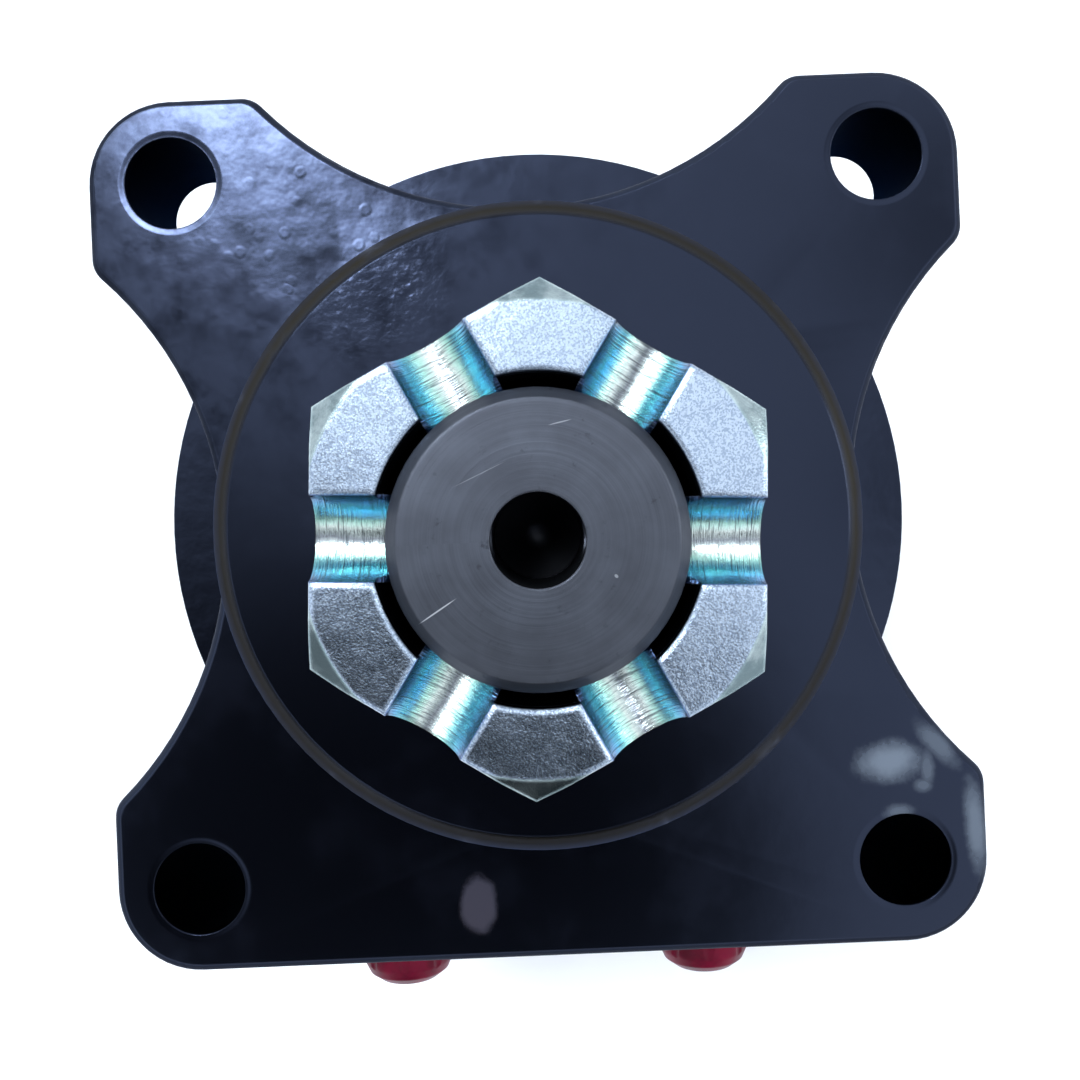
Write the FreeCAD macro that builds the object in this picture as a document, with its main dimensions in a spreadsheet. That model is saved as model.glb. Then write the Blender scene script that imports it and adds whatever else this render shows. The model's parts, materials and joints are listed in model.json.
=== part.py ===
import FreeCAD, Part
import math
import os
import re
import Sketcher

# A gerotor wheel motor, lengths in millimetres.
# Origin: centre of the front face of the mounting flange.
# +Z runs along the shaft to its threaded end, the two oil ports face -Y.

os.makedirs("parts", exist_ok=True)
doc = FreeCAD.newDocument("wheelMotor")
sheet = doc.addObject("Spreadsheet::Sheet", "dims")

sizes = {
    # mounting flange
    "flangeHalf": 64.5,
    "flangeThick": 25.4,
    "flangeEdge": 1.2,
    "boltReach": 52.19,
    "boltHoleRadius": 6.8,
    "earRound": 12.3,
    "earInnerRound": 4,
    "waistRadius": 53,
    "waistCentre": 99.65,
    # nose and round body
    "noseRadius": 41.25,
    "noseLength": 26.4,
    "noseEdgeWide": 2.25,
    "noseEdgeHigh": 1.8,
    "noseFoot": 2.5,
    "bodyRadius": 61.25,
    "bodyShoulderEnd": 32,
    "bodyWaistStart": 38,
    "bodyWaistRadius": 57.5,
    "housingRear": 78,
    "packRadius": 55,
    # port block
    "portSpread": 27,
    "portDepth": 43,
    "portBlockHalf": 45,
    "portBlockFront": 24,
    "portBlockRear": 63,
    "portWingWall": 4,
    "portFace": 64.5,
    "portPadRadius": 17,
    "portPadRise": 1.5,
    "portHoleRadius": 10.2,
    "portHoleDepth": 18,
    "portMouthRadius": 12,
    "portMouthDepth": 2.5,
    "drillRadius": 4,
    # bores of the housing
    "sealBore": 26,
    "shoulderBore": 21.5,
    "shoulderFront": 6.5,
    "shoulderRear": 4,
    "bearingBore": 27,
    "thrustFront": 18,
    "spoolBore": 30.04,
    "snapGroove": 27.6,
    # shaft
    "shaftEnd": 77.9,
    "shaftEndChamfer": 0.95,
    "screwRadius": 12.7,
    "screwStart": 54,
    "screwDepth": 0.75,
    "screwPitch": 1.27,
    "centreHoleRadius": 4,
    "centreHoleDepth": 12,
    "pinHoleRadius": 2.4,
    "pinHoleBack": 2.6,
    "taperSmall": 14.19,
    "taperLarge": 15.875,
    "taperEnd": 27,
    "journalRadius": 19.05,
    "journalStart": 26,
    "spoolFront": 24.1,
    "spoolRear": 74,
    "spoolRadius": 30,
    "spoolGrooveDepth": 3,
    "grooveFrontStart": 34,
    "grooveFrontEnd": 41,
    "grooveRearStart": 62,
    "grooveRearEnd": 68,
    "slotWide": 3.6,
    "slotDepth": 2.5,
    "slotFrontEnd": 59,
    "slotRearEnd": 44,
    "timingPlace": 52,
    "timingRadius": 2.6,
    "timingCircle": 35.5,
    "shaftBore": 15.2,
    "shaftBoreFront": 31,
    "shaftSplineEnd": 43,
    # key
    "keyWide": 7.94,
    "keyRadius": 12.7,
    "keyPlace": 40.5,
    "keyTop": 19,
    "keyDrop": 1.6,
    # slotted nut
    "nutHalf": 19.05,
    "nutTop": 77,
    "nutBottom": 55,
    "nutChamferRadius": 19.9,
    "nutCornerDrop": 1.2,
    "nutBore": 12.75,
    "nutCounterbore": 14,
    "nutCounterDepth": 2,
    "nutEdge": 0.4,
    "nutSlotRadius": 3.6,
    "nutTurn": 57.3,
    # seals at the nose
    "lipGap": 0.04,
    "dustSealFront": 25.8,
    "dustSealRear": 21,
    "snapFront": 20.6,
    "snapRear": 19.2,
    "shaftSealFront": 18.8,
    "shaftSealRear": 8.2,
    "backupBore": 20.2,
    # front bearing
    "rollingGap": 0.04,
    "cupInner": 24.05,
    "cupGap": 0.2,
    "needleHalf": 9,
    "bearingMiddle": -7,
    "cageInner": 20.5,
    "cageOuter": 22.7,
    # thrust bearing
    "raceInner": 20,
    "raceOuter": 29.4,
    "raceThick": 1.5,
    "thrustNeedle": 1.5,
    "thrustCageHalf": 1,
    # gear section
    "eccentric": 3,
    "rollerCircle": 33,
    "rollerRadius": 7,
    "rollerGap": 0.03,
    "starGap": 0.05,
    "endGap": 0.05,
    "ringClear": 0.3,
    "plateThick": 6,
    "ringThick": 20,
    "coverThick": 17,
    "packChamfer": 1,
    "plateBore": 14,
    "windowInner": 28.2,
    "windowOuter": 37.6,
    "windowHalf": 2.5,
    "sealGrooveInner": 38.8,
    "sealGrooveOuter": 40.6,
    "sealGrooveDepth": 1.6,
    "sealRingGap": 0.1,
    # drive link and its splines
    "linkShank": 8.5,
    "linkHead": 13.2,
    "linkHeadEnd": 12.9,
    "linkRoot": 10.9,
    "linkHeadHalf": 4.5,
    "linkNose": 9.5,
    "linkSlot": 3.9,
    "splineMinor": 11.6,
    "splineMajor": 13.8,
    "splineSlot": 3.6,
    "linkFrontPlace": 38,
    "linkRearPlace": 94,
    "spacerRadius": 11.2,
    "spacerFront": 101,
    # screws of the gear section
    "screwCircle": 46,
    "coverScrewRadius": 4,
    "coverHoleRadius": 4.3,
    "coverTapRadius": 4.05,
    "coverScrewBite": 15,
    "coverTapDepth": 18,
    "screwHeadHalf": 6.5,
    "screwHeadHigh": 5.6,
    "washerOuter": 7.4,
    "washerThick": 1.6,
    # drain plug in the end cover
    "drainHole": 6.2,
    "drainPlugRadius": 6.1,
    "drainDepth": 10,
    "drainHeadRadius": 8.4,
    "drainHeadHigh": 3.4,
    "drainSocket": 2.5,
    "drainWasherOuter": 9,
    "drainWasherThick": 1.2,
    # plastic port plugs
    "plugShank": 9.9,
    "plugShankLong": 13,
    "plugFlangeRadius": 14.5,
    "plugFlangeThick": 2.6,
    "plugKnobRadius": 8.9,
    "plugKnobTip": 8.1,
    "plugReach": 82.7,
    "plugFlute": 1.7,
    "plugWall": 1.6,
}
rows = enumerate(sizes.items(), start=1)
for row, (name, size) in rows:
    sheet.set(f"A{row}", name)
    sheet.set(f"B{row}", str(size))
    sheet.setAlias(f"B{row}", name)
doc.recompute()


def amount(formula):
    # value of a sum of products, such as "noseLength - 2*noseFoot"
    total = 0.0
    sign = 1.0
    for word in formula.split():
        if word in "+-":
            sign = -1.0 if word == "-" else 1.0
            continue
        product = 1.0
        for piece in word.split("*"):
            if piece[0] == "-":
                product = -product
                piece = piece[1:]
            known = piece in sizes
            product = product * (sizes[piece] if known else float(piece))
        total = total + sign * product
        sign = 1.0
    return total


def bound(formula):
    # the same sum, written for the expression engine
    return re.sub(r"[A-Za-z]\w*", r"dims.\g<0>", formula)


def newBody(name):
    body = doc.addObject("PartDesign::Body", name)
    body.Label = name
    doc.recompute()
    return body


def sketchOn(body, role, name, lift=None):
    # lift moves the sketch along the normal of its plane
    plane = next(f for f in body.Origin.OriginFeatures if f.Role == role)
    sketch = body.newObject("Sketcher::SketchObject", name)
    sketch.AttachmentSupport = [(plane, "")]
    sketch.MapMode = "FlatFace"
    if lift is not None:
        sketch.setExpression(".AttachmentOffset.Base.z", bound(lift))
    return sketch


def place(sketch, index, point, x, y):
    for kind, formula in (("DistanceX", x), ("DistanceY", y)):
        size = amount(formula)
        rule = Sketcher.Constraint(kind, -1, 1, index, point, size)
        number = sketch.addConstraint(rule)
        sketch.setExpression(f"Constraints[{number}]", bound(formula))


def addPolygon(sketch, points):
    first = len(sketch.Geometry)
    corners = [FreeCAD.Vector(amount(x), amount(y), 0) for x, y in points]
    count = len(corners)
    for i in range(count):
        line = Part.LineSegment(corners[i], corners[(i + 1) % count])
        sketch.addGeometry(line, False)
    for i in range(count):
        following = first + (i + 1) % count
        rule = Sketcher.Constraint("Coincident", first + i, 2, following, 1)
        sketch.addConstraint(rule)
    for i, (x, y) in enumerate(points):
        place(sketch, first + i, 1, x, y)


def addRectangle(sketch, left, right, low, high):
    corners = [(left, low), (right, low), (right, high), (left, high)]
    addPolygon(sketch, corners)


def addCircle(sketch, x, y, radius):
    centre = FreeCAD.Vector(amount(x), amount(y), 0)
    up = FreeCAD.Vector(0, 0, 1)
    circle = Part.Circle(centre, up, amount(radius))
    index = sketch.addGeometry(circle, False)
    rule = Sketcher.Constraint("Radius", index, amount(radius))
    number = sketch.addConstraint(rule)
    sketch.setExpression(f"Constraints[{number}]", bound(radius))
    place(sketch, index, 3, x, y)


def addHexagon(sketch, half, x="0", y="0"):
    # half is half the width across the flats, the flats look to +X and -X
    across = FreeCAD.Vector(amount(x), amount(y), 0)
    reach = amount(half) / math.cos(math.radians(30))
    first = len(sketch.Geometry)
    for i in range(6):
        ends = []
        for step in (i, i + 1):
            turn = math.radians(30 + 60 * step)
            out = FreeCAD.Vector(math.cos(turn), math.sin(turn), 0)
            ends.append(across + out * reach)
        sketch.addGeometry(Part.LineSegment(*ends), False)
    for i in range(6):
        following = first + (i + 1) % 6
        rule = Sketcher.Constraint("Coincident", first + i, 2, following, 1)
        sketch.addConstraint(rule)
    for i in range(6):
        turn = 30 + 60 * i
        for kind, word, shift in (("DistanceX", "cos", x), ("DistanceY", "sin", y)):
            size = getattr(math, word)(math.radians(turn)) * reach + amount(shift)
            rule = Sketcher.Constraint(kind, -1, 1, first + i, 1, size)
            number = sketch.addConstraint(rule)
            text = f"{bound(half)} / cos(30 deg) * {word}({turn} deg) + {bound(shift)}"
            sketch.setExpression(f"Constraints[{number}]", text)


def turned(body, name, points, cut=False):
    # points are radius and height along the shaft
    sketch = sketchOn(body, "XZ_Plane", name + "Outline")
    addPolygon(sketch, points)
    kind = "PartDesign::Groove" if cut else "PartDesign::Revolution"
    feature = body.newObject(kind, name)
    feature.Profile = sketch
    feature.ReferenceAxis = (sketch, ["V_Axis"])
    feature.Angle = 360
    doc.recompute()
    return feature


def pad(body, name, sketch, length, back=False):
    feature = body.newObject("PartDesign::Pad", name)
    feature.Profile = sketch
    feature.setExpression("Length", bound(length))
    feature.Reversed = back
    doc.recompute()
    return feature


def pocket(body, name, sketch, length=None, both=False, back=False):
    feature = body.newObject("PartDesign::Pocket", name)
    feature.Profile = sketch
    if length is None:
        feature.Type = "ThroughAll"
    else:
        feature.setExpression("Length", bound(length))
    if both:
        feature.Midplane = True
    feature.Reversed = back
    doc.recompute()
    return feature


def around(body, name, features, count):
    axis = next(f for f in body.Origin.OriginFeatures if f.Role == "Z_Axis")
    pattern = body.newObject("PartDesign::PolarPattern", name)
    pattern.Originals = features
    pattern.Axis = (axis, [""])
    pattern.Angle = 360
    pattern.Occurrences = count
    body.Tip = pattern
    doc.recompute()
    return pattern


def edgesWhere(feature, test):
    names = []
    for number, edge in enumerate(feature.Shape.Edges, start=1):
        if test(edge):
            names.append(f"Edge{number}")
    return names


def dress(body, kind, name, feature, edges, size):
    # rounds or chamfers the named edges
    work = body.newObject("PartDesign::" + kind, name)
    work.Base = (feature, edges)
    word = "Radius" if kind == "Fillet" else "Size"
    work.setExpression(word, bound(size))
    doc.recompute()
    return work


def cylinder(name, radius, height, base, turn=None):
    # base holds three formulas; turn holds a yaw and a tilt in degrees
    item = doc.addObject("Part::Cylinder", name)
    item.setExpression("Radius", bound(radius))
    item.setExpression("Height", bound(height))
    if turn is not None:
        item.Placement.Rotation = FreeCAD.Rotation(*turn)
    for letter, formula in zip("xyz", base):
        item.setExpression(f"Placement.Base.{letter}", formula)
    return item


def cut(name, base, tools):
    # takes the tools away from the base one after the other
    result = base
    for number, tool in enumerate(tools):
        less = doc.addObject("Part::Cut", f"{name}{number}")
        less.Base = result
        less.Tool = tool
        result = less
    doc.recompute()
    return result


nodes = []


def node(item, name):
    item.Label = name
    nodes.append(item)


def isUpright(edge):
    ends = edge.Vertexes
    if len(ends) != 2:
        return False
    level = math.hypot(ends[0].X - ends[1].X, ends[0].Y - ends[1].Y)
    return level < 1e-4 and abs(ends[0].Z - ends[1].Z) > 1


# ---- housing: flange first, then the turned body, port block and bores ----
house = newBody("housingCasting")
outline = sketchOn(house, "XY_Plane", "flangeOutline")
addRectangle(outline, "-flangeHalf", "flangeHalf", "-flangeHalf", "flangeHalf")
flange = pad(house, "flange", outline, "flangeThick", back=True)

waists = sketchOn(house, "XY_Plane", "waistOutline")
addCircle(waists, "waistCentre", "0", "waistRadius")
addCircle(waists, "-waistCentre", "0", "waistRadius")
addCircle(waists, "0", "waistCentre", "waistRadius")
waist = pocket(house, "waists", waists)

half = sizes["flangeHalf"]


def isOuterCorner(edge):
    if not isUpright(edge):
        return False
    spot = edge.Vertexes[0]
    return abs(abs(spot.X) - half) < 0.01 and abs(abs(spot.Y) - half) < 0.01


def isInnerCorner(edge):
    if not isUpright(edge):
        return False
    spot = edge.Vertexes[0]
    onSide = abs(abs(spot.X) - half) < 0.01 or abs(abs(spot.Y) - half) < 0.01
    return onSide and min(abs(spot.X), abs(spot.Y)) < half - 15


ears = dress(house, "Fillet", "earRounds", waist,
             edgesWhere(waist, isOuterCorner), "earRound")
inner = dress(house, "Fillet", "earInnerRounds", ears,
              edgesWhere(ears, isInnerCorner), "earInnerRound")
flatEdges = edgesWhere(inner, lambda e: max(v.Z for v in e.Vertexes) - min(v.Z for v in e.Vertexes) < 0.01)
edged = dress(house, "Fillet", "flangeEdges", inner, flatEdges, "flangeEdge")

noseProfile = [
    ("0", "-1"),
    ("noseRadius + noseFoot", "-1"),
    ("noseRadius + noseFoot", "0"),
    ("noseRadius + 0.3*noseFoot", "0.3*noseFoot"),
    ("noseRadius", "noseFoot"),
    ("noseRadius", "noseLength - noseEdgeHigh"),
    ("noseRadius - 0.45*noseEdgeWide", "noseLength - 0.38*noseEdgeHigh"),
    ("noseRadius - noseEdgeWide", "noseLength"),
    ("0", "noseLength"),
]
turned(house, "nose", noseProfile)
bodyProfile = [
    ("0", "-flangeThick + 1"),
    ("bodyRadius", "-flangeThick + 1"),
    ("bodyRadius", "-bodyShoulderEnd"),
    ("bodyWaistRadius", "-bodyWaistStart"),
    ("bodyWaistRadius - 1", "-housingRear + 8"),
    ("packRadius", "-housingRear + 5"),
    ("packRadius", "-housingRear"),
    ("0", "-housingRear"),
]
turned(house, "roundBody", bodyProfile)

block = sketchOn(house, "XY_Plane", "portBlockOutline", "-portBlockFront")
# low wings carry the lower bolt holes right through the block
wingTop = "-boltReach + boltHoleRadius + portWingWall"
wingSide = "boltReach + boltHoleRadius + portWingWall"
addPolygon(block, [
    ("-portBlockHalf", "-25"),
    ("-portBlockHalf", wingTop),
    ("-boltReach - boltHoleRadius - portWingWall", wingTop),
    ("-boltReach - boltHoleRadius - portWingWall", "-portFace + 6"),
    ("-boltReach - boltHoleRadius - portWingWall + 6", "-portFace"),
    (wingSide + " - 6", "-portFace"),
    (wingSide, "-portFace + 6"),
    (wingSide, wingTop),
    ("portBlockHalf", wingTop),
    ("portBlockHalf", "-25"),
])
pad(house, "portBlock", block, "portBlockRear - portBlockFront", back=True)
pads = sketchOn(house, "XZ_Plane", "portPads", "portFace")
addCircle(pads, "-portSpread", "-portDepth", "portPadRadius")
addCircle(pads, "portSpread", "-portDepth", "portPadRadius")
pad(house, "portPadRaise", pads, "portPadRise")

bores = [
    ("0", "noseLength + 1"),
    ("sealBore", "noseLength + 1"),
    ("sealBore", "snapFront + 0.1"),
    ("snapGroove", "snapFront + 0.1"),
    ("snapGroove", "snapRear - 0.1"),
    ("sealBore", "snapRear - 0.1"),
    ("sealBore", "shoulderFront"),
    ("shoulderBore", "shoulderFront"),
    ("shoulderBore", "shoulderRear"),
    ("bearingBore", "shoulderRear"),
    ("bearingBore", "-thrustFront"),
    ("spoolBore", "-thrustFront"),
    ("spoolBore", "-housingRear - 1"),
    ("0", "-housingRear - 1"),
]
turned(house, "bores", bores, cut=True)
groove = [
    ("sealGrooveInner", "-housingRear - 1"),
    ("sealGrooveOuter", "-housingRear - 1"),
    ("sealGrooveOuter", "-housingRear + sealGrooveDepth"),
    ("sealGrooveInner", "-housingRear + sealGrooveDepth"),
]
turned(house, "sealGroove", groove, cut=True)

holes = sketchOn(house, "XY_Plane", "boltHoles")
for x in ("-boltReach", "boltReach"):
    for y in ("-boltReach", "boltReach"):
        addCircle(holes, x, y, "boltHoleRadius")
pocket(house, "boltHolePockets", holes, "portBlockRear + 1")

# oil ways: port holes, their drillings and the seven timing holes
tools = []
face = "dims.portFace + dims.portPadRise"
for side, sign in (("Left", "-"), ("Right", "")):
    spot = (f"{sign}dims.portSpread", f"-({face}) - 1", "-dims.portDepth")
    tools.append(cylinder("portHole" + side, "portHoleRadius", "portHoleDepth + 1",
                          spot, (0, 0, -90)))
    tools.append(cylinder("portMouth" + side, "portMouthRadius", "portMouthDepth + 1",
                          spot, (0, 0, -90)))
drillStart = f"-({face}) + dims.portHoleDepth - 1"
tools.append(cylinder("drillLeft", "drillRadius", "portFace - portHoleDepth - 12",
                      ("-dims.portSpread", drillStart, "-dims.grooveFrontStart - 3.5"),
                      (0, 0, -90)))
tools.append(cylinder("drillRight", "drillRadius", "portFace - portHoleDepth - 5",
                      ("dims.portSpread", drillStart, "-dims.portDepth - 3"),
                      (0, 0, -90 - 29)))
for i in range(7):
    turn = 360 / 7 * (i + 0.5)
    along = f"cos({turn} deg)"
    aside = f"sin({turn} deg)"
    tools.append(cylinder(f"timingLong{i}", "timingRadius", "housingRear - timingPlace + 1",
                          (f"dims.timingCircle * {along}", f"dims.timingCircle * {aside}",
                           "-dims.housingRear - 1")))
    tools.append(cylinder(f"timingCross{i}", "timingRadius", "timingCircle - spoolBore + 3",
                          (f"(dims.spoolBore - 3) * {along}",
                           f"(dims.spoolBore - 3) * {aside}", "-dims.timingPlace"),
                          (turn, 90, 0)))
    tools.append(cylinder(f"tapHole{i}", "coverTapRadius", "coverTapDepth + 1",
                          (f"dims.screwCircle * {along}", f"dims.screwCircle * {aside}",
                           "-dims.housingRear - 1")))
housing = cut("housingDrilled", house, tools)
node(housing, "housing")

# ---- output shaft with its valve spool ----
shaft = newBody("shaftTurned")
shaftProfile = [
    ("0", "shaftEnd"),
    ("screwRadius - shaftEndChamfer", "shaftEnd"),
    ("screwRadius", "shaftEnd - shaftEndChamfer"),
    ("screwRadius", "screwStart + 0.5"),
    ("taperSmall", "screwStart"),
    ("taperLarge", "taperEnd"),
    ("journalRadius - 0.8", "journalStart + 0.4"),
    ("journalRadius", "journalStart - 0.8"),
    ("journalRadius", "-spoolFront"),
    ("spoolRadius - 1", "-spoolFront"),
    ("spoolRadius", "-spoolFront - 1"),
    ("spoolRadius", "-grooveFrontStart"),
    ("spoolRadius - spoolGrooveDepth", "-grooveFrontStart"),
    ("spoolRadius - spoolGrooveDepth", "-grooveFrontEnd"),
    ("spoolRadius", "-grooveFrontEnd"),
    ("spoolRadius", "-grooveRearStart"),
    ("spoolRadius - spoolGrooveDepth", "-grooveRearStart"),
    ("spoolRadius - spoolGrooveDepth", "-grooveRearEnd"),
    ("spoolRadius", "-grooveRearEnd"),
    ("spoolRadius", "-spoolRear + 1"),
    ("spoolRadius - 1", "-spoolRear"),
    ("0", "-spoolRear"),
]
turned(shaft, "shaftOutline", shaftProfile)
boreProfile = [
    ("0", "-spoolRear - 1"),
    ("shaftBore", "-spoolRear - 1"),
    ("shaftBore", "-shaftSplineEnd"),
    ("splineMinor", "-shaftSplineEnd"),
    ("splineMinor", "-shaftBoreFront"),
    ("0", "-shaftBoreFront"),
]
turned(shaft, "linkBore", boreProfile, cut=True)
centreProfile = [
    ("0", "shaftEnd + 1"),
    ("centreHoleRadius", "shaftEnd + 1"),
    ("centreHoleRadius", "shaftEnd - centreHoleDepth"),
    ("0", "shaftEnd - centreHoleDepth - 0.58*centreHoleRadius"),
]
turned(shaft, "centreHole", centreProfile, cut=True)
vee = [
    ("screwRadius + 0.3", "shaftEnd - 1.7"),
    ("screwRadius - screwDepth", "shaftEnd - 1.7 - 0.5*screwPitch"),
    ("screwRadius + 0.3", "shaftEnd - 1.7 - screwPitch"),
]
veeCut = turned(shaft, "screwGroove", vee, cut=True)
rows = shaft.newObject("PartDesign::LinearPattern", "screwGrooves")
rows.Originals = [veeCut]
zAxis = next(f for f in shaft.Origin.OriginFeatures if f.Role == "Z_Axis")
rows.Direction = (zAxis, [""])
rows.Reversed = True
rows.Length = sizes["screwPitch"] * 15
rows.setExpression("Length", "dims.screwPitch * 15")
rows.Occurrences = 16
shaft.Tip = rows
doc.recompute()
teeth = sketchOn(shaft, "XY_Plane", "shaftSplineSlot", "-spoolRear")
addRectangle(teeth, "splineMinor - 1", "splineMajor", "-0.5*splineSlot", "0.5*splineSlot")
toothSlot = pocket(shaft, "splineSlot", teeth, "spoolRear - shaftBoreFront", back=True)
around(shaft, "splineSlots", [toothSlot], 12)

tools = []
pinSpot = ("-dims.screwRadius * 2", "0", "dims.nutTop - dims.pinHoleBack")
tools.append(cylinder("pinHole", "pinHoleRadius", "4*screwRadius", pinSpot, (0, 90, 0)))
keySpot = ("-0.5 * dims.keyWide", "dims.keyTop + dims.keyDrop", "dims.keyPlace")
tools.append(cylinder("keySeat", "keyRadius + 0.02", "keyWide", keySpot, (0, 90, 0)))
for i in range(12):
    start, end = ("grooveFrontStart", "slotFrontEnd")
    if i % 2:
        start, end = ("slotRearEnd", "grooveRearEnd")
    bar = doc.addObject("Part::Box", f"timingSlot{i}")
    bar.setExpression("Length", "dims.slotDepth + 2")
    bar.setExpression("Width", "dims.slotWide")
    bar.setExpression("Height", f"dims.{end} - dims.{start}")
    turn = 30 * i
    bar.Placement.Rotation = FreeCAD.Rotation(FreeCAD.Vector(0, 0, 1), turn)
    depth = "(dims.spoolRadius - dims.slotDepth)"
    side = "0.5 * dims.slotWide"
    bar.setExpression("Placement.Base.x",
                      f"{depth} * cos({turn} deg) + {side} * sin({turn} deg)")
    bar.setExpression("Placement.Base.y",
                      f"{depth} * sin({turn} deg) - {side} * cos({turn} deg)")
    bar.setExpression("Placement.Base.z", f"-dims.{end}")
    tools.append(bar)
outputShaft = cut("shaftSlotted", shaft, tools)
node(outputShaft, "output_shaft")

# ---- half-round key on the taper ----
keyRound = cylinder("keyRound", "keyRadius", "keyWide", keySpot, (0, 90, 0))
keyAbove = doc.addObject("Part::Box", "keyAbove")
keyAbove.setExpression("Length", "dims.keyWide + 2")
keyAbove.setExpression("Width", "dims.keyRadius * 2")
keyAbove.setExpression("Height", "dims.keyRadius * 2 + 2")
keyAbove.setExpression("Placement.Base.x", "-0.5 * dims.keyWide - 1")
keyAbove.setExpression("Placement.Base.y", "dims.keyTop")
keyAbove.setExpression("Placement.Base.z", "dims.keyPlace - dims.keyRadius - 1")
node(cut("keyCut", keyRound, [keyAbove]), "woodruff_key")

# ---- slotted nut ----
nut = newBody("nutBody")
flats = sketchOn(nut, "XY_Plane", "nutFlats", "nutBottom")
addHexagon(flats, "nutHalf")
pad(nut, "nutBlock", flats, "nutTop - nutBottom")
for name, start, sign in (("Top", "nutTop", "-"), ("Low", "nutBottom", "+")):
    turned(nut, "nutChamfer" + name, [
        ("nutChamferRadius", start),
        ("nutChamferRadius + 4", start),
        ("nutChamferRadius + 4", f"{start} {sign} 2*nutCornerDrop"),
    ], cut=True)
turned(nut, "nutHole", [
    ("0", "nutBottom - 1"),
    ("nutBore + 1.5", "nutBottom - 1"),
    ("nutBore", "nutBottom + 0.8"),
    ("nutBore", "nutTop - nutCounterDepth"),
    ("nutCounterbore", "nutTop - 0.6*nutCounterDepth"),
    ("nutCounterbore", "nutTop + 1"),
    ("0", "nutTop + 1"),
], cut=True)
castle = sketchOn(nut, "YZ_Plane", "nutSlotOutline")
addCircle(castle, "0", "nutTop", "nutSlotRadius")
slotCut = pocket(nut, "nutSlot", castle, "4*nutHalf", both=True)
slotted = around(nut, "nutSlots", [slotCut], 6)


def isCastleEdge(edge):
    # the edges that bound the six flat tops, except the outer chamfer arcs
    top = sizes["nutTop"]
    if any(abs(v.Z - top) > 0.001 for v in edge.Vertexes) or not edge.Vertexes:
        return False
    middle = edge.valueAt(0.5 * (edge.FirstParameter + edge.LastParameter))
    level = abs(middle.z - top) < 0.001
    return level and math.hypot(middle.x, middle.y) < sizes["nutChamferRadius"] - 0.1


dress(nut, "Fillet", "nutEdges", slotted, edgesWhere(slotted, isCastleEdge), "nutEdge")
nut.setExpression("Placement.Rotation.Angle", "dims.nutTurn")
node(nut, "slotted_nut")

# ---- seals, washers and rings turned about the shaft axis ----
def ring(name, profile):
    body = newBody(name + "Turned")
    turned(body, name + "Profile", profile)
    node(body, name)
    return body


def plainRing(name, inside, outside, front, rear):
    return ring(name, [(inside, rear), (outside, rear), (outside, front), (inside, front)])


ring("dust_seal", [
    ("journalRadius + lipGap", "dustSealRear + 1.6"),
    ("journalRadius + 2", "dustSealRear"),
    ("sealBore", "dustSealRear"),
    ("sealBore", "dustSealFront - 0.4"),
    ("sealBore - 0.4", "dustSealFront"),
    ("sealBore - 3", "dustSealFront"),
    ("sealBore - 3.4", "dustSealFront - 1.2"),
    ("journalRadius + 1.6", "dustSealFront - 1.2"),
    ("journalRadius + lipGap", "dustSealFront - 2.2"),
])
ring("shaft_seal", [
    ("journalRadius + lipGap", "shaftSealRear + 3"),
    ("journalRadius + 1.2", "shaftSealRear + 1"),
    ("journalRadius + 2.4", "shaftSealRear + 1"),
    ("journalRadius + 2.4", "shaftSealFront - 2"),
    ("sealBore - 1.4", "shaftSealFront - 2"),
    ("sealBore - 1.4", "shaftSealRear"),
    ("sealBore", "shaftSealRear"),
    ("sealBore", "shaftSealFront"),
    ("journalRadius + 1.4", "shaftSealFront"),
    ("journalRadius + lipGap", "shaftSealFront - 3"),
])
plainRing("seal_backup_washer", "backupBore", "sealBore - 0.1", "shaftSealRear", "shoulderFront")
snap = newBody("snapTurned")
turned(snap, "snapProfile", [
    ("snapGroove - 3.6", "snapRear"),
    ("snapGroove - 0.1", "snapRear"),
    ("snapGroove - 0.1", "snapFront"),
    ("snapGroove - 3.6", "snapFront"),
])
snapGap = sketchOn(snap, "XY_Plane", "snapGap", "snapRear - 1")
addRectangle(snapGap, "sealBore - 8", "sealBore + 4", "-4", "4")
pocket(snap, "snapOpening", snapGap, "6", back=True)
node(snap, "seal_snap_ring")

cupFront = "shoulderRear"
cupRear = "-thrustFront"
ring("bearing_cup", [
    ("cupInner", "-thrustFront + 1.2"),
    ("backupBore + 1.2", "-thrustFront + 1.2"),
    ("backupBore + 1.2", "-thrustFront"),
    ("bearingBore", "-thrustFront"),
    ("bearingBore", "shoulderRear"),
    ("backupBore + 1.2", "shoulderRear"),
    ("backupBore + 1.2", "shoulderRear - 1.2"),
    ("cupInner", "shoulderRear - 1.2"),
])
plainRing("thrust_race_front", "raceInner", "raceOuter", "-thrustFront", "-thrustFront - raceThick")
plainRing("thrust_race_rear", "raceInner", "raceOuter",
          "-thrustFront - raceThick - 2*thrustNeedle - 0.1", "-spoolFront")

# needle rollers and their cage, round the shaft journal
cage = newBody("cageTurned")
turned(cage, "cageProfile", [
    ("cageInner", "bearingMiddle - needleHalf - 0.8"),
    ("cageOuter", "bearingMiddle - needleHalf - 0.8"),
    ("cageOuter", "bearingMiddle + needleHalf + 0.8"),
    ("cageInner", "bearingMiddle + needleHalf + 0.8"),
])
window = sketchOn(cage, "XY_Plane", "cageWindow", "bearingMiddle - needleHalf - 0.1")
addRectangle(window, "cageInner - 2", "cageOuter + 2", "-2.6", "2.6")
hole = pocket(cage, "cagePocket", window, "2*needleHalf + 0.2", back=True)
around(cage, "cagePockets", [hole], 16)
node(cage, "bearing_cage")

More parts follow.
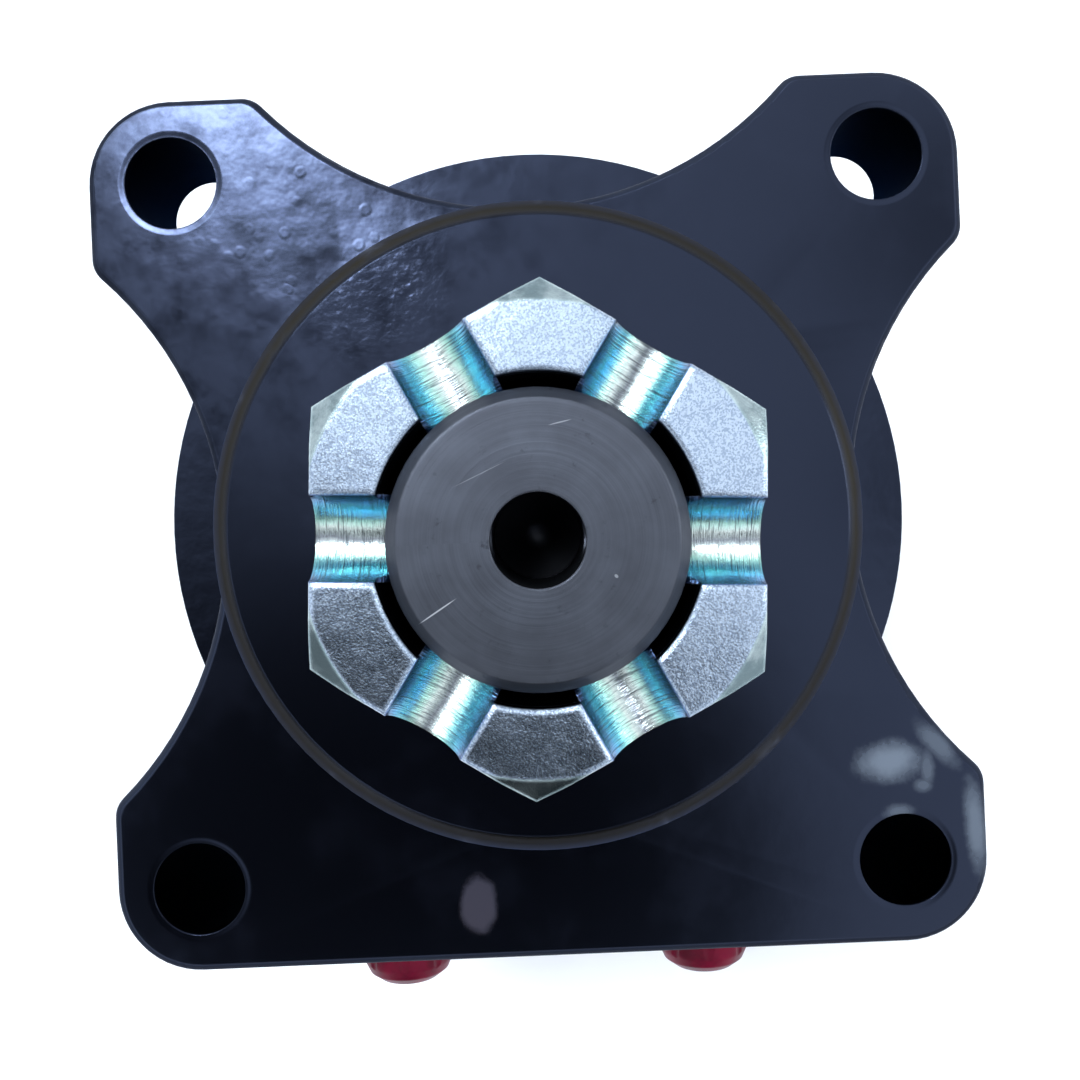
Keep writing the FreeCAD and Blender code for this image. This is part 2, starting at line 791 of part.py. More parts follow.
needles = newBody("needlesBody")
needleSketch = sketchOn(needles, "XY_Plane", "needleRound", "bearingMiddle - needleHalf")
addCircle(needleSketch, "0.5*cupInner + 0.5*journalRadius", "0",
          "0.5*cupInner - 0.5*journalRadius - rollingGap")
needle = pad(needles, "needle", needleSketch, "2*needleHalf")
around(needles, "needleSet", [needle], 16)
node(needles, "bearing_rollers")

# thrust bearing: flat cage with radial needles
flatCage = newBody("thrustCageTurned")
middle = "-thrustFront - raceThick - thrustNeedle - 0.05"
turned(flatCage, "thrustCageProfile", [
    ("raceInner + 0.4", middle + " - thrustCageHalf"),
    ("raceOuter - 0.4", middle + " - thrustCageHalf"),
    ("raceOuter - 0.4", middle + " + thrustCageHalf"),
    ("raceInner + 0.4", middle + " + thrustCageHalf"),
])
flatWindow = sketchOn(flatCage, "XY_Plane", "thrustWindow", middle + " - 2*thrustCageHalf")
addRectangle(flatWindow, "raceInner + 1.6", "raceOuter - 1.4", "-1.6", "1.6")
flatHole = pocket(flatCage, "thrustPocket", flatWindow, "4*thrustCageHalf", back=True)
around(flatCage, "thrustPockets", [flatHole], 24)
node(flatCage, "thrust_cage")

flatNeedles = newBody("thrustNeedlesBody")
flatRound = sketchOn(flatNeedles, "YZ_Plane", "thrustNeedleRound", "raceInner + 1.8")
addCircle(flatRound, "0", middle, "thrustNeedle")
flatNeedle = pad(flatNeedles, "thrustNeedleBar", flatRound, "raceOuter - raceInner - 3.4")
around(flatNeedles, "thrustNeedleSet", [flatNeedle], 24)
node(flatNeedles, "thrust_rollers")

# ---- drive link: two crowned spline heads on a shank, tilted to the star ----
link = newBody("linkBody")
front = "-linkFrontPlace"
rear = "-linkRearPlace"
turned(link, "linkOutline", [
    ("0", front + " + linkHeadHalf + 0.6"),
    ("linkNose", front + " + linkHeadHalf + 0.6"),
    ("linkRoot", front + " + linkHeadHalf"),
    ("linkHeadEnd", front + " + linkHeadHalf - 0.8"),
    ("linkHead", front + " + 1.2"),
    ("linkHead", front + " - 1.2"),
    ("linkHeadEnd", front + " - linkHeadHalf + 0.8"),
    ("linkRoot", front + " - linkHeadHalf"),
    ("linkShank", front + " - linkHeadHalf - 3"),
    ("linkShank", rear + " + linkHeadHalf + 3"),
    ("linkRoot", rear + " + linkHeadHalf"),
    ("linkHeadEnd", rear + " + linkHeadHalf - 0.8"),
    ("linkHead", rear + " + 1.2"),
    ("linkHead", rear + " - 1.2"),
    ("linkHeadEnd", rear + " - linkHeadHalf + 0.8"),
    ("linkRoot", rear + " - linkHeadHalf"),
    ("linkNose", rear + " - linkHeadHalf - 0.6"),
    ("0", rear + " - linkHeadHalf - 0.6"),
])
linkTeeth = sketchOn(link, "XY_Plane", "linkToothSpace", "-linkRearPlace - 10")
# half a tooth round, so that link teeth stand in the slots of the bores
turnedHalf = FreeCAD.Rotation(FreeCAD.Vector(0, 0, 1), 15)
linkTeeth.AttachmentOffset = FreeCAD.Placement(linkTeeth.AttachmentOffset.Base, turnedHalf)
addRectangle(linkTeeth, "linkRoot", "linkHead + 2", "-0.5*linkSlot", "0.5*linkSlot")
space = pocket(link, "linkSpace", linkTeeth, "linkRearPlace - linkFrontPlace + 20", back=True)
around(link, "linkSpaces", [space], 12)
# the link swings about the middle of its front head, so its rear head
# comes to stand on the off-centre axis of the star
lean = "atan(dims.eccentric / (dims.linkRearPlace - dims.linkFrontPlace))"
node(link, "drive_link")

spacer = newBody("spacerTurned")
turned(spacer, "spacerProfile", [
    ("0", "-spacerFront"),
    ("spacerRadius - 0.8", "-spacerFront"),
    ("spacerRadius", "-spacerFront - 0.8"),
    ("spacerRadius", "-housingRear - plateThick - ringThick + endGap"),
    ("0", "-housingRear - plateThick - ringThick + endGap"),
])
spacer.setExpression("Placement.Base.x", "dims.eccentric")
node(spacer, "drive_spacer")

# ---- gear section: plate, ring with seven rollers, six-lobed star, cover ----
def gearDisc(name, front, thick, inside, sealRear=False):
    # a disc of the stack with its screw holes, lying behind the height front
    body = newBody(name + "Body")
    profile = [
        (inside, front),
        ("packRadius - 0.4", front),
        ("packRadius", front + " - 0.4"),
        ("packRadius", front + f" - {thick} + 0.4"),
        ("packRadius - 0.4", front + f" - {thick}"),
        (inside, front + f" - {thick}"),
    ]
    turned(body, name + "Disc", profile)
    if sealRear:
        turned(body, name + "SealGroove", [
            ("sealGrooveInner", front + f" - {thick} - 1"),
            ("sealGrooveOuter", front + f" - {thick} - 1"),
            ("sealGrooveOuter", front + f" - {thick} + sealGrooveDepth"),
            ("sealGrooveInner", front + f" - {thick} + sealGrooveDepth"),
        ], cut=True)
    sketch = sketchOn(body, "XY_Plane", name + "ScrewHole", front + f" - {thick} - 1")
    angle = math.pi / 7
    circle = Part.Circle(FreeCAD.Vector(sizes["screwCircle"] * math.cos(angle),
                                        sizes["screwCircle"] * math.sin(angle), 0),
                         FreeCAD.Vector(0, 0, 1), sizes["coverHoleRadius"])
    sketch.addGeometry(circle, False)
    number = sketch.addConstraint(Sketcher.Constraint("Radius", 0, sizes["coverHoleRadius"]))
    sketch.setExpression(f"Constraints[{number}]", "dims.coverHoleRadius")
    for kind, word in (("DistanceX", "cos"), ("DistanceY", "sin")):
        size = sizes["screwCircle"] * getattr(math, word)(angle)
        number = sketch.addConstraint(Sketcher.Constraint(kind, -1, 1, 0, 3, size))
        sketch.setExpression(f"Constraints[{number}]",
                             f"dims.screwCircle * {word}(180 deg / 7)")
    drilled = pocket(body, name + "Hole", sketch, thick + " + 2", back=True)
    around(body, name + "Holes", [drilled], 7)
    return body


plate = gearDisc("plate", "-housingRear", "plateThick", "plateBore", sealRear=True)
oilWay = sketchOn(plate, "XY_Plane", "windowOutline", "-housingRear - plateThick - 1")
turn = math.pi / 7
corners = []
for along, aside in (("windowInner", "-"), ("windowOuter", "-"),
                     ("windowOuter", "+"), ("windowInner", "+")):
    sign = -1 if aside == "-" else 1
    reach = sizes[along]
    wide = sign * sizes["windowHalf"]
    x = reach * math.cos(turn) - wide * math.sin(turn)
    y = reach * math.sin(turn) + wide * math.cos(turn)
    textX = f"dims.{along} * cos(180 deg / 7) - {sign} * dims.windowHalf * sin(180 deg / 7)"
    textY = f"dims.{along} * sin(180 deg / 7) + {sign} * dims.windowHalf * cos(180 deg / 7)"
    corners.append((x, y, textX, textY))
for i in range(4):
    here = FreeCAD.Vector(corners[i][0], corners[i][1], 0)
    there = FreeCAD.Vector(corners[(i + 1) % 4][0], corners[(i + 1) % 4][1], 0)
    oilWay.addGeometry(Part.LineSegment(here, there), False)
for i in range(4):
    oilWay.addConstraint(Sketcher.Constraint("Coincident", i, 2, (i + 1) % 4, 1))
for i in range(4):
    for kind, size, text in (("DistanceX", corners[i][0], corners[i][2]),
                             ("DistanceY", corners[i][1], corners[i][3])):
        number = oilWay.addConstraint(Sketcher.Constraint(kind, -1, 1, i, 1, size))
        oilWay.setExpression(f"Constraints[{number}]", text)
windowCut = pocket(plate, "window", oilWay, "plateThick + 2", back=True)
around(plate, "windows", [windowCut], 7)
node(plate, "wear_plate")

ringFront = "-housingRear - plateThick"
# the ring clears the furthest reach of the orbiting star
ringInner = "rollerCircle + 2*eccentric - rollerRadius + ringClear"
stator = gearDisc("stator", ringFront, "ringThick", ringInner)
seat = sketchOn(stator, "XY_Plane", "rollerSeat", ringFront + " - ringThick - 1")
addCircle(seat, "rollerCircle", "0", "rollerRadius + rollerGap")
seatCut = pocket(stator, "rollerSeatCut", seat, "ringThick + 2", back=True)
around(stator, "rollerSeats", [seatCut], 7)
node(stator, "stator_ring")

for i in range(7):
    turn = 360 / 7 * i
    base = (f"dims.rollerCircle * cos({turn} deg)", f"dims.rollerCircle * sin({turn} deg)",
            "-dims.housingRear - dims.plateThick - dims.ringThick + dims.endGap")
    node(cylinder(f"rollerBar{i + 1}", "rollerRadius", "ringThick - 2*endGap", base),
         f"roller_{i + 1}")

# the star outline is the path of a roller centre seen from the star,
# moved inwards by the roller radius and a running gap
reach = sizes["rollerCircle"]
off = sizes["eccentric"]
inset = sizes["rollerRadius"] + sizes["starGap"]
outlinePoints = []
for step in range(180):
    t = 2 * math.pi * step / 180
    x = reach * math.cos(t) - off * math.cos(7 * t)
    y = reach * math.sin(t) - off * math.sin(7 * t)
    dx = -reach * math.sin(t) + 7 * off * math.sin(7 * t)
    dy = reach * math.cos(t) - 7 * off * math.cos(7 * t)
    speed = math.hypot(dx, dy)
    outlinePoints.append(FreeCAD.Vector(x - inset * dy / speed, y + inset * dx / speed, 0))
curve = Part.BSplineCurve()
curve.interpolate(outlinePoints, PeriodicFlag=True)
face = Part.Face(Part.Wire(curve.toShape()))
starHigh = sizes["ringThick"] - 2 * sizes["endGap"]
starShape = face.extrude(FreeCAD.Vector(0, 0, starHigh))
starBlank = doc.addObject("Part::Feature", "starBlank")
starBlank.Shape = starShape
starBlank.Placement.Base = FreeCAD.Vector(off, 0, amount(ringFront + " - ringThick + endGap"))
starBottom = "-dims.housingRear - dims.plateThick - dims.ringThick - 1"
tools = [cylinder("starBore", "splineMinor", "ringThick + 2",
                  ("dims.eccentric", "0", starBottom))]
for i in range(12):
    turn = 30 * i
    bar = doc.addObject("Part::Box", f"starSlot{i}")
    bar.setExpression("Length", "dims.splineMajor - dims.splineMinor + 1")
    bar.setExpression("Width", "dims.splineSlot")
    bar.setExpression("Height", "dims.ringThick + 2")
    bar.Placement.Rotation = FreeCAD.Rotation(FreeCAD.Vector(0, 0, 1), turn)
    deep = "(dims.splineMinor - 1)"
    side = "0.5 * dims.splineSlot"
    bar.setExpression("Placement.Base.x",
                      f"dims.eccentric + {deep} * cos({turn} deg) + {side} * sin({turn} deg)")
    bar.setExpression("Placement.Base.y",
                      f"{deep} * sin({turn} deg) - {side} * cos({turn} deg)")
    bar.setExpression("Placement.Base.z", starBottom)
    tools.append(bar)
node(cut("starCut", starBlank, tools), "rotor_star")

coverFront = ringFront + " - ringThick"
cover = gearDisc("cover", coverFront, "coverThick", "drainHole")
turned(cover, "coverSealGroove", [
    ("sealGrooveInner", coverFront + " + 1"),
    ("sealGrooveInner", coverFront + " - sealGrooveDepth"),
    ("sealGrooveOuter", coverFront + " - sealGrooveDepth"),
    ("sealGrooveOuter", coverFront + " + 1"),
], cut=True)
turned(cover, "coverRearShape", [
    ("packRadius - 1.4", coverFront + " - coverThick"),
    ("packRadius + 1", coverFront + " - coverThick + 2.4"),
    ("packRadius + 1", coverFront + " - coverThick - 1"),
    ("packRadius - 1.4", coverFront + " - coverThick - 1"),
], cut=True)
node(cover, "end_cover")

sealPlaces = (("front", "-housingRear"), ("middle", "-housingRear - plateThick"),
              ("rear", coverFront + " - sealGrooveDepth"))
for word, low in sealPlaces:
    plainRing("seal_ring_" + word, "sealGrooveInner + sealRingGap",
              "sealGrooveOuter - sealRingGap", low + " + sealGrooveDepth", low)

# ---- seven screws and washers, each set one node of separate solids ----
coverBack = coverFront + " - coverThick"


def screwSketch(body, name, lift, half=None, radius=None):
    # centred on the first screw hole by shifting and turning the sketch
    sketch = sketchOn(body, "XY_Plane", name, lift)
    sketch.setExpression(".AttachmentOffset.Base.x", "dims.screwCircle * cos(180 deg / 7)")
    sketch.setExpression(".AttachmentOffset.Base.y", "dims.screwCircle * sin(180 deg / 7)")
    if half is not None:
        addHexagon(sketch, half)
    if radius is not None:
        addCircle(sketch, "0", "0", radius)
    return sketch


screws = newBody("screwsBody")
headSketch = screwSketch(screws, "screwHead", coverBack + " - washerThick", half="screwHeadHalf")
head = pad(screws, "screwHeads", headSketch, "screwHeadHigh", back=True)
shankSketch = screwSketch(screws, "screwShank", coverBack + " - washerThick - 1",
                          radius="coverScrewRadius")
shank = pad(screws, "screwShanks", shankSketch,
            "coverThick + ringThick + plateThick + washerThick + coverScrewBite + 1")
around(screws, "screwSet", [head, shank], 7)
node(screws, "cover_screws")

washers = newBody("washersBody")
washerSketch = screwSketch(washers, "washerRound", coverBack, radius="washerOuter")
addCircle(washerSketch, "0", "0", "coverHoleRadius")
washer = pad(washers, "washer", washerSketch, "washerThick", back=True)
around(washers, "washerSet", [washer], 7)
node(washers, "screw_washers")

# ---- drain plug in the end cover ----
drain = newBody("drainTurned")
turned(drain, "drainOutline", [
    ("0", coverBack + " + drainDepth"),
    ("drainPlugRadius - 1", coverBack + " + drainDepth"),
    ("drainPlugRadius", coverBack + " + drainDepth - 1"),
    ("drainPlugRadius", coverBack + " - drainWasherThick"),
    ("drainHeadRadius", coverBack + " - drainWasherThick"),
    ("drainHeadRadius", coverBack + " - drainWasherThick - drainHeadHigh + 0.5"),
    ("drainHeadRadius - 0.5", coverBack + " - drainWasherThick - drainHeadHigh"),
    ("0", coverBack + " - drainWasherThick - drainHeadHigh"),
])
socket = sketchOn(drain, "XY_Plane", "drainSocketFlats",
                  coverBack + " - drainWasherThick - drainHeadHigh")
addHexagon(socket, "drainSocket")
pocket(drain, "drainSocketCut", socket, "5", back=True)
node(drain, "drain_plug")
plainRing("drain_washer", "drainPlugRadius + 0.1", "drainWasherOuter",
          coverBack, coverBack + " - drainWasherThick")

# ---- plastic plugs in the two ports, turned about their own Z then laid down ----
for side, sign in (("left", "-"), ("right", "")):
    plug = newBody("plug" + side.title())
    knobEnd = "plugReach - portFace - portPadRise"
    turned(plug, "plugOutline" + side, [
        ("0", "-plugShankLong"),
        ("plugShank - 1.5", "-plugShankLong"),
        ("plugShank", "-plugShankLong + 1.5"),
        ("plugShank", "0"),
        ("plugFlangeRadius", "0"),
        ("plugFlangeRadius", "plugFlangeThick"),
        ("plugKnobRadius + 0.8", "plugFlangeThick"),
        ("plugKnobRadius", "plugFlangeThick + 1.2"),
        ("plugKnobTip", knobEnd + " - 3.2"),
        ("plugKnobTip - 0.9", knobEnd + " - 1.3"),
        ("plugKnobTip - 2.6", knobEnd),
        ("0", knobEnd),
    ])
    turned(plug, "plugHollow" + side, [
        ("0", knobEnd + " + 1"),
        ("plugKnobTip - plugWall - plugFlute", knobEnd + " + 1"),
        ("plugKnobTip - plugWall - plugFlute", "0"),
        ("0", "0"),
    ], cut=True)
    flute = sketchOn(plug, "XY_Plane", "fluteRound" + side, "plugFlangeThick + 1")
    addCircle(flute, "plugKnobRadius + 0.4*plugFlute", "0", "plugFlute")
    fluteCut = pocket(plug, "fluteCut" + side, flute, "plugReach", back=True)
    around(plug, "flutes" + side, [fluteCut], 8)
    plug.Placement.Rotation = FreeCAD.Rotation(FreeCAD.Vector(1, 0, 0), 90)
    plug.setExpression("Placement.Base.x", f"{sign}dims.portSpread")
    plug.setExpression("Placement.Base.y", "-dims.portFace - dims.portPadRise")
    plug.setExpression("Placement.Base.z", "-dims.portDepth")
    node(plug, "port_plug_" + side)

link.Placement.Rotation = FreeCAD.Rotation(FreeCAD.Vector(0, -1, 0), 1)
link.setExpression("Placement.Rotation.Angle", lean)
link.setExpression("Placement.Base.x", f"-sin({lean}) * dims.linkFrontPlace")
link.setExpression("Placement.Base.z", f"(cos({lean}) - 1) * dims.linkFrontPlace")
doc.recompute()

troubled = [item.Name for item in doc.Objects
            if "Invalid" in item.State or "Error" in item.State]
print("troubled objects:", troubled)
for item in nodes:
    shape = item.Shape
    if shape.isNull() or not shape.isValid():
        print("bad shape:", item.Label)
    box = shape.BoundBox
    print(f"{item.Label:20s} solids {len(shape.Solids):2d} volume {shape.Volume:10.1f}"
          f" z {box.ZMin:7.2f} {box.ZMax:7.2f} x {box.XMin:7.2f} {box.XMax:7.2f}"
          f" y {box.YMin:7.2f} {box.YMax:7.2f}")
    shape.exportStep(f"parts/{item.Label}.step")
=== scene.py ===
import bpy
import json
import math
import numpy as np
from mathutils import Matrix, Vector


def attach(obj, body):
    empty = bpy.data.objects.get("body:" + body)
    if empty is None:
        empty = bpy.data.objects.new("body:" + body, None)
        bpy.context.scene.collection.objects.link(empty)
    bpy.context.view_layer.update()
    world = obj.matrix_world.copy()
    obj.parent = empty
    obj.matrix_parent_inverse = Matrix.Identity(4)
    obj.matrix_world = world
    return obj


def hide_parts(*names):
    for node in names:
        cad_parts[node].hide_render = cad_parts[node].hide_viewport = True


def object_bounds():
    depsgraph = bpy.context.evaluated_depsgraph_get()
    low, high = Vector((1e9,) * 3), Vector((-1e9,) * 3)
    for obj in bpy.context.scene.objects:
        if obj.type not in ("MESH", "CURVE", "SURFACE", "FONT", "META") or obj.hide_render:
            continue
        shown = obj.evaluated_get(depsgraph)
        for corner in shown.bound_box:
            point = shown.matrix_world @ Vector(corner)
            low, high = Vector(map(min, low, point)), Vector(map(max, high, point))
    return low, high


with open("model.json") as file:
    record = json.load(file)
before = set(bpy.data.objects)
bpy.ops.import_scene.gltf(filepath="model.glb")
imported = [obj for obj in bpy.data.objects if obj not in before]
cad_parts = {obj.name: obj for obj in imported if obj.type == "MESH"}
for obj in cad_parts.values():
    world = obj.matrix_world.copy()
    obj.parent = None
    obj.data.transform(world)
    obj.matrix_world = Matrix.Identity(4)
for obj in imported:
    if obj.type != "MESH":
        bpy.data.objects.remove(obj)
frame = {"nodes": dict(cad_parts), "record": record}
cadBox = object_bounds()
print("frame loaded")

scene = bpy.context.scene
scene.view_settings.view_transform = "Standard"  # a pale floor stays pale
nodes = frame["nodes"]
bodies = frame["record"]["behaviour"]["bodies"]
bodyOf = {name: body for body, names in bodies.items() for name in names}
slotOf = {part["node"]: part["material_slot"] for part in frame["record"]["subparts"]}

# settings that many nodes share
smooth = {"interpolation_type": "SMOOTHSTEP"}
cloudy = {"noise_dimensions": "4D"}
times = {"operation": "MULTIPLY"}
timesPlus = {"operation": "MULTIPLY_ADD"}
larger = {"operation": "MAXIMUM"}
distance = {"operation": "DISTANCE"}


def cloud(size, seed, detail=3.0, rough=0.55):
    # values of a cloudy pattern whose blotches are size units across
    return {"W": seed, "Scale": 1.0 / size, "Detail": detail, "Roughness": rough}


def toLinear(text):
    # sRGB hex such as "1c1f2c" to the linear colour a shader wants
    parts = [int(text[i:i + 2], 16) / 255 for i in (0, 2, 4)]
    line = [c / 12.92 if c <= 0.04045 else ((c + 0.055) / 1.055) ** 2.4 for c in parts]
    return (*line, 1.0)


def add(tree, kind, inputs=None, out=0, **settings):
    # inputs are plain values or sockets to link; gives back one output socket
    node = tree.nodes.new("ShaderNode" + kind)
    for field, value in settings.items():
        setattr(node, field, value)
    for key, value in (inputs or {}).items():
        if isinstance(value, bpy.types.NodeSocket):
            tree.links.new(value, node.inputs[key])
        else:
            node.inputs[key].default_value = value
    return node.outputs[out] if out is not None else None


def newMaterial(name, **shaderValues):
    # returns the material, its tree, its shader and object coordinates in millimetres
    material = bpy.data.materials.new(name)
    material.use_nodes = True
    tree = material.node_tree
    tree.nodes.clear()
    surface = add(tree, "BsdfPrincipled", shaderValues)
    add(tree, "OutputMaterial", {"Surface": surface}, None)
    place = add(tree, "TexCoord", out="Object")
    mm = add(tree, "VectorMath", {0: place, "Scale": 1000.0}, operation="SCALE")
    return material, tree, surface.node, mm


def polar(tree, mm):
    # distance from the shaft axis, height along it and angle about it
    flat = add(tree, "VectorMath", {0: mm, 1: (1, 1, 0)}, **times)
    axes = add(tree, "SeparateXYZ", {"Vector": mm}).node.outputs
    return {"radius": add(tree, "VectorMath", {0: flat}, "Value", operation="LENGTH"),
            "height": axes["Z"],
            "angle": add(tree, "Math", {0: axes["Y"], 1: axes["X"]}, operation="ARCTAN2")}


def both(tree, *masks):
    # where every mask is on
    result = masks[0]
    for mask in masks[1:]:
        result = add(tree, "Math", {0: result, 1: mask}, **times)
    return result


def paintOver(tree, colour, layers):
    # each layer is a mask and the colour that it puts on top
    for mask, top in layers:
        colour = add(tree, "Mix", {0: mask, 6: colour, 7: top}, 2, data_type="RGBA")
    return colour


def relief(tree, layers, edge):
    # height layers, each with its depth in mm, over edges rounded by edge mm
    normal = add(tree, "Bevel", {"Radius": edge / 1000}, samples=4)
    for height, depth in layers:
        normal = add(tree, "Bump", {"Height": height, "Distance": depth / 1000,
                                    "Strength": 1.0, "Normal": normal})
    return normal


# in shares of its reach: where a patch ends, where it is whole, and the middle of its noise
patchRim = {"outer": 1.1, "inner": 0.65, "middle": 0.5}


def spot(tree, mm, centre, reach, ragged, seed, size=2.6, turn=0.0, soft=0.0):
    # a patch round a point, reach mm each way, its rim broken up by noise and faded by soft
    away = add(tree, "VectorMath", {0: mm, 1: centre}, operation="SUBTRACT")
    spun = add(tree, "VectorRotate", {"Vector": away, "Angle": -turn}, rotation_type="Z_AXIS")
    unit = add(tree, "VectorMath", {0: spun, 1: [1 / r for r in reach]}, **times)
    far = add(tree, "VectorMath", {0: unit}, "Value", operation="LENGTH")
    tatters = add(tree, "TexNoise", {"Vector": mm, **cloud(size, seed, 4.0, 0.65)}, **cloudy)
    broken = add(tree, "Math", {0: tatters, 1: ragged, 2: far}, **timesPlus)
    shift = ragged * patchRim["middle"]
    return add(tree, "MapRange", {0: broken, 1: patchRim["outer"] + shift + soft,
                                  2: patchRim["inner"] + shift - soft}, **smooth)


enamel = {
    "paint": "010102", "haze": "020204", "band": "353021", "bare": "292120",
    # the black bolt hole colour on this line is painted shade
    # the pale patch colour on this line is painted reflection
    "glare": "6f7880", "shadedBore": "000000", "tint": "bccfff", "shine": 0.64,
    "rough": 0.17, "hazeRough": 0.03, "wornRough": 0.3, "thinRough": 0.75, "dullAmount": 0.6,
    "edge": 0.2, "dropEvery": 3.3,
    # size in mm, seed, detail, roughness
    "clouds": {
        "peel": cloud(2.2, 1.0, 2.0, 0.4), "lumps": cloud(5.5, 2.0, 3.0, 0.45),
        "drift": cloud(16.0, 4.0, 4.0, 0.6), "dropGroups": cloud(9.0, 9.0),
        "beads": cloud(1.5, 12.0, 2.0, 0.5), "blotches": cloud(5.5, 10.0, 6.0, 0.66),
        "wear": cloud(7.0, 5.0),
    },
    # in mm: the upper left ear, the upper left of the pilot face and a bolt hole
    "ear": (-34.0, 46.0, 0.0), "beadCentre": (-19.0, 30.0, 26.4), "boltHole": (52.19, 52.19, 0.0),
    # what is measured, where the mask starts and where it is full
    "masks": {
        "haze": ("drift", 0.48, 0.66),
        "corner": ("fromEar", 36.0, 14.0), "nearEar": ("fromEar", 60.0, 30.0),
        "drop": ("cells", 0.34, 0.16), "dropPatch": ("dropGroups", 0.42, 0.56),
        "beadPatch": ("fromBeads", 13.0, 5.0), "blotch": ("blotches", 0.4, 0.72),
        "rimOut": ("radius", 38.9, 40.2), "rimUp": ("height", 23.9, 24.5),
        "rimWear": ("wear", 0.2, 0.42),
        "inHole": ("fromHole", 6.95, 6.85), "belowFace": ("height", -0.1, -0.5),
        "mouth": ("fromHole", 6.8, 7.8),
        "edgeTop": ("height", -0.005, -0.05), "edgeFoot": ("height", -3.0, -1.6),
        "asCast": ("height", -0.8, -3.0),
    },
    # relief in mm
    "castingDepth": 0.1, "peelDepth": 0.012, "dropDepth": 0.012, "beadDepth": 0.09,
    "mouthDepth": 0.06, "faceLumps": 0.15, "cornerLumps": 0.85,
    # place, reach, raggedness, seed
    "chip": ((-11.1, -56.2, 0.0), (3.0, 4.4, 1.0), 0.6, 6.0),
    # whitish patches on the lower right ear, painted reflection of glare on the gloss paint: place,
    # reach each way, turn in radians, seed of its rim, strength
    "glarePatches": (
        ((50.3, -37.6), (4.4, 2.7), 0.05, 7.0, 0.85), ((55.9, -38.8), (1.0, 2.6), 0.0, 8.0, 0.4),
        ((55.2, -41.3), (1.3, 1.0), 0.0, 9.0, 0.4), ((57.4, -35.2), (4.0, 1.4), -0.85, 11.0, 0.45),
        ((51.5, -45.2), (2.0, 1.2), 0.0, 12.0, 0.45), ((62.7, -47.6), (1.5, 6.4), 0.06, 10.0, 0.6)),
    "glareDepth": 2.5, "glareRagged": 0.8, "glareGrain": 2.0, "glareSoft": 0.35,
}


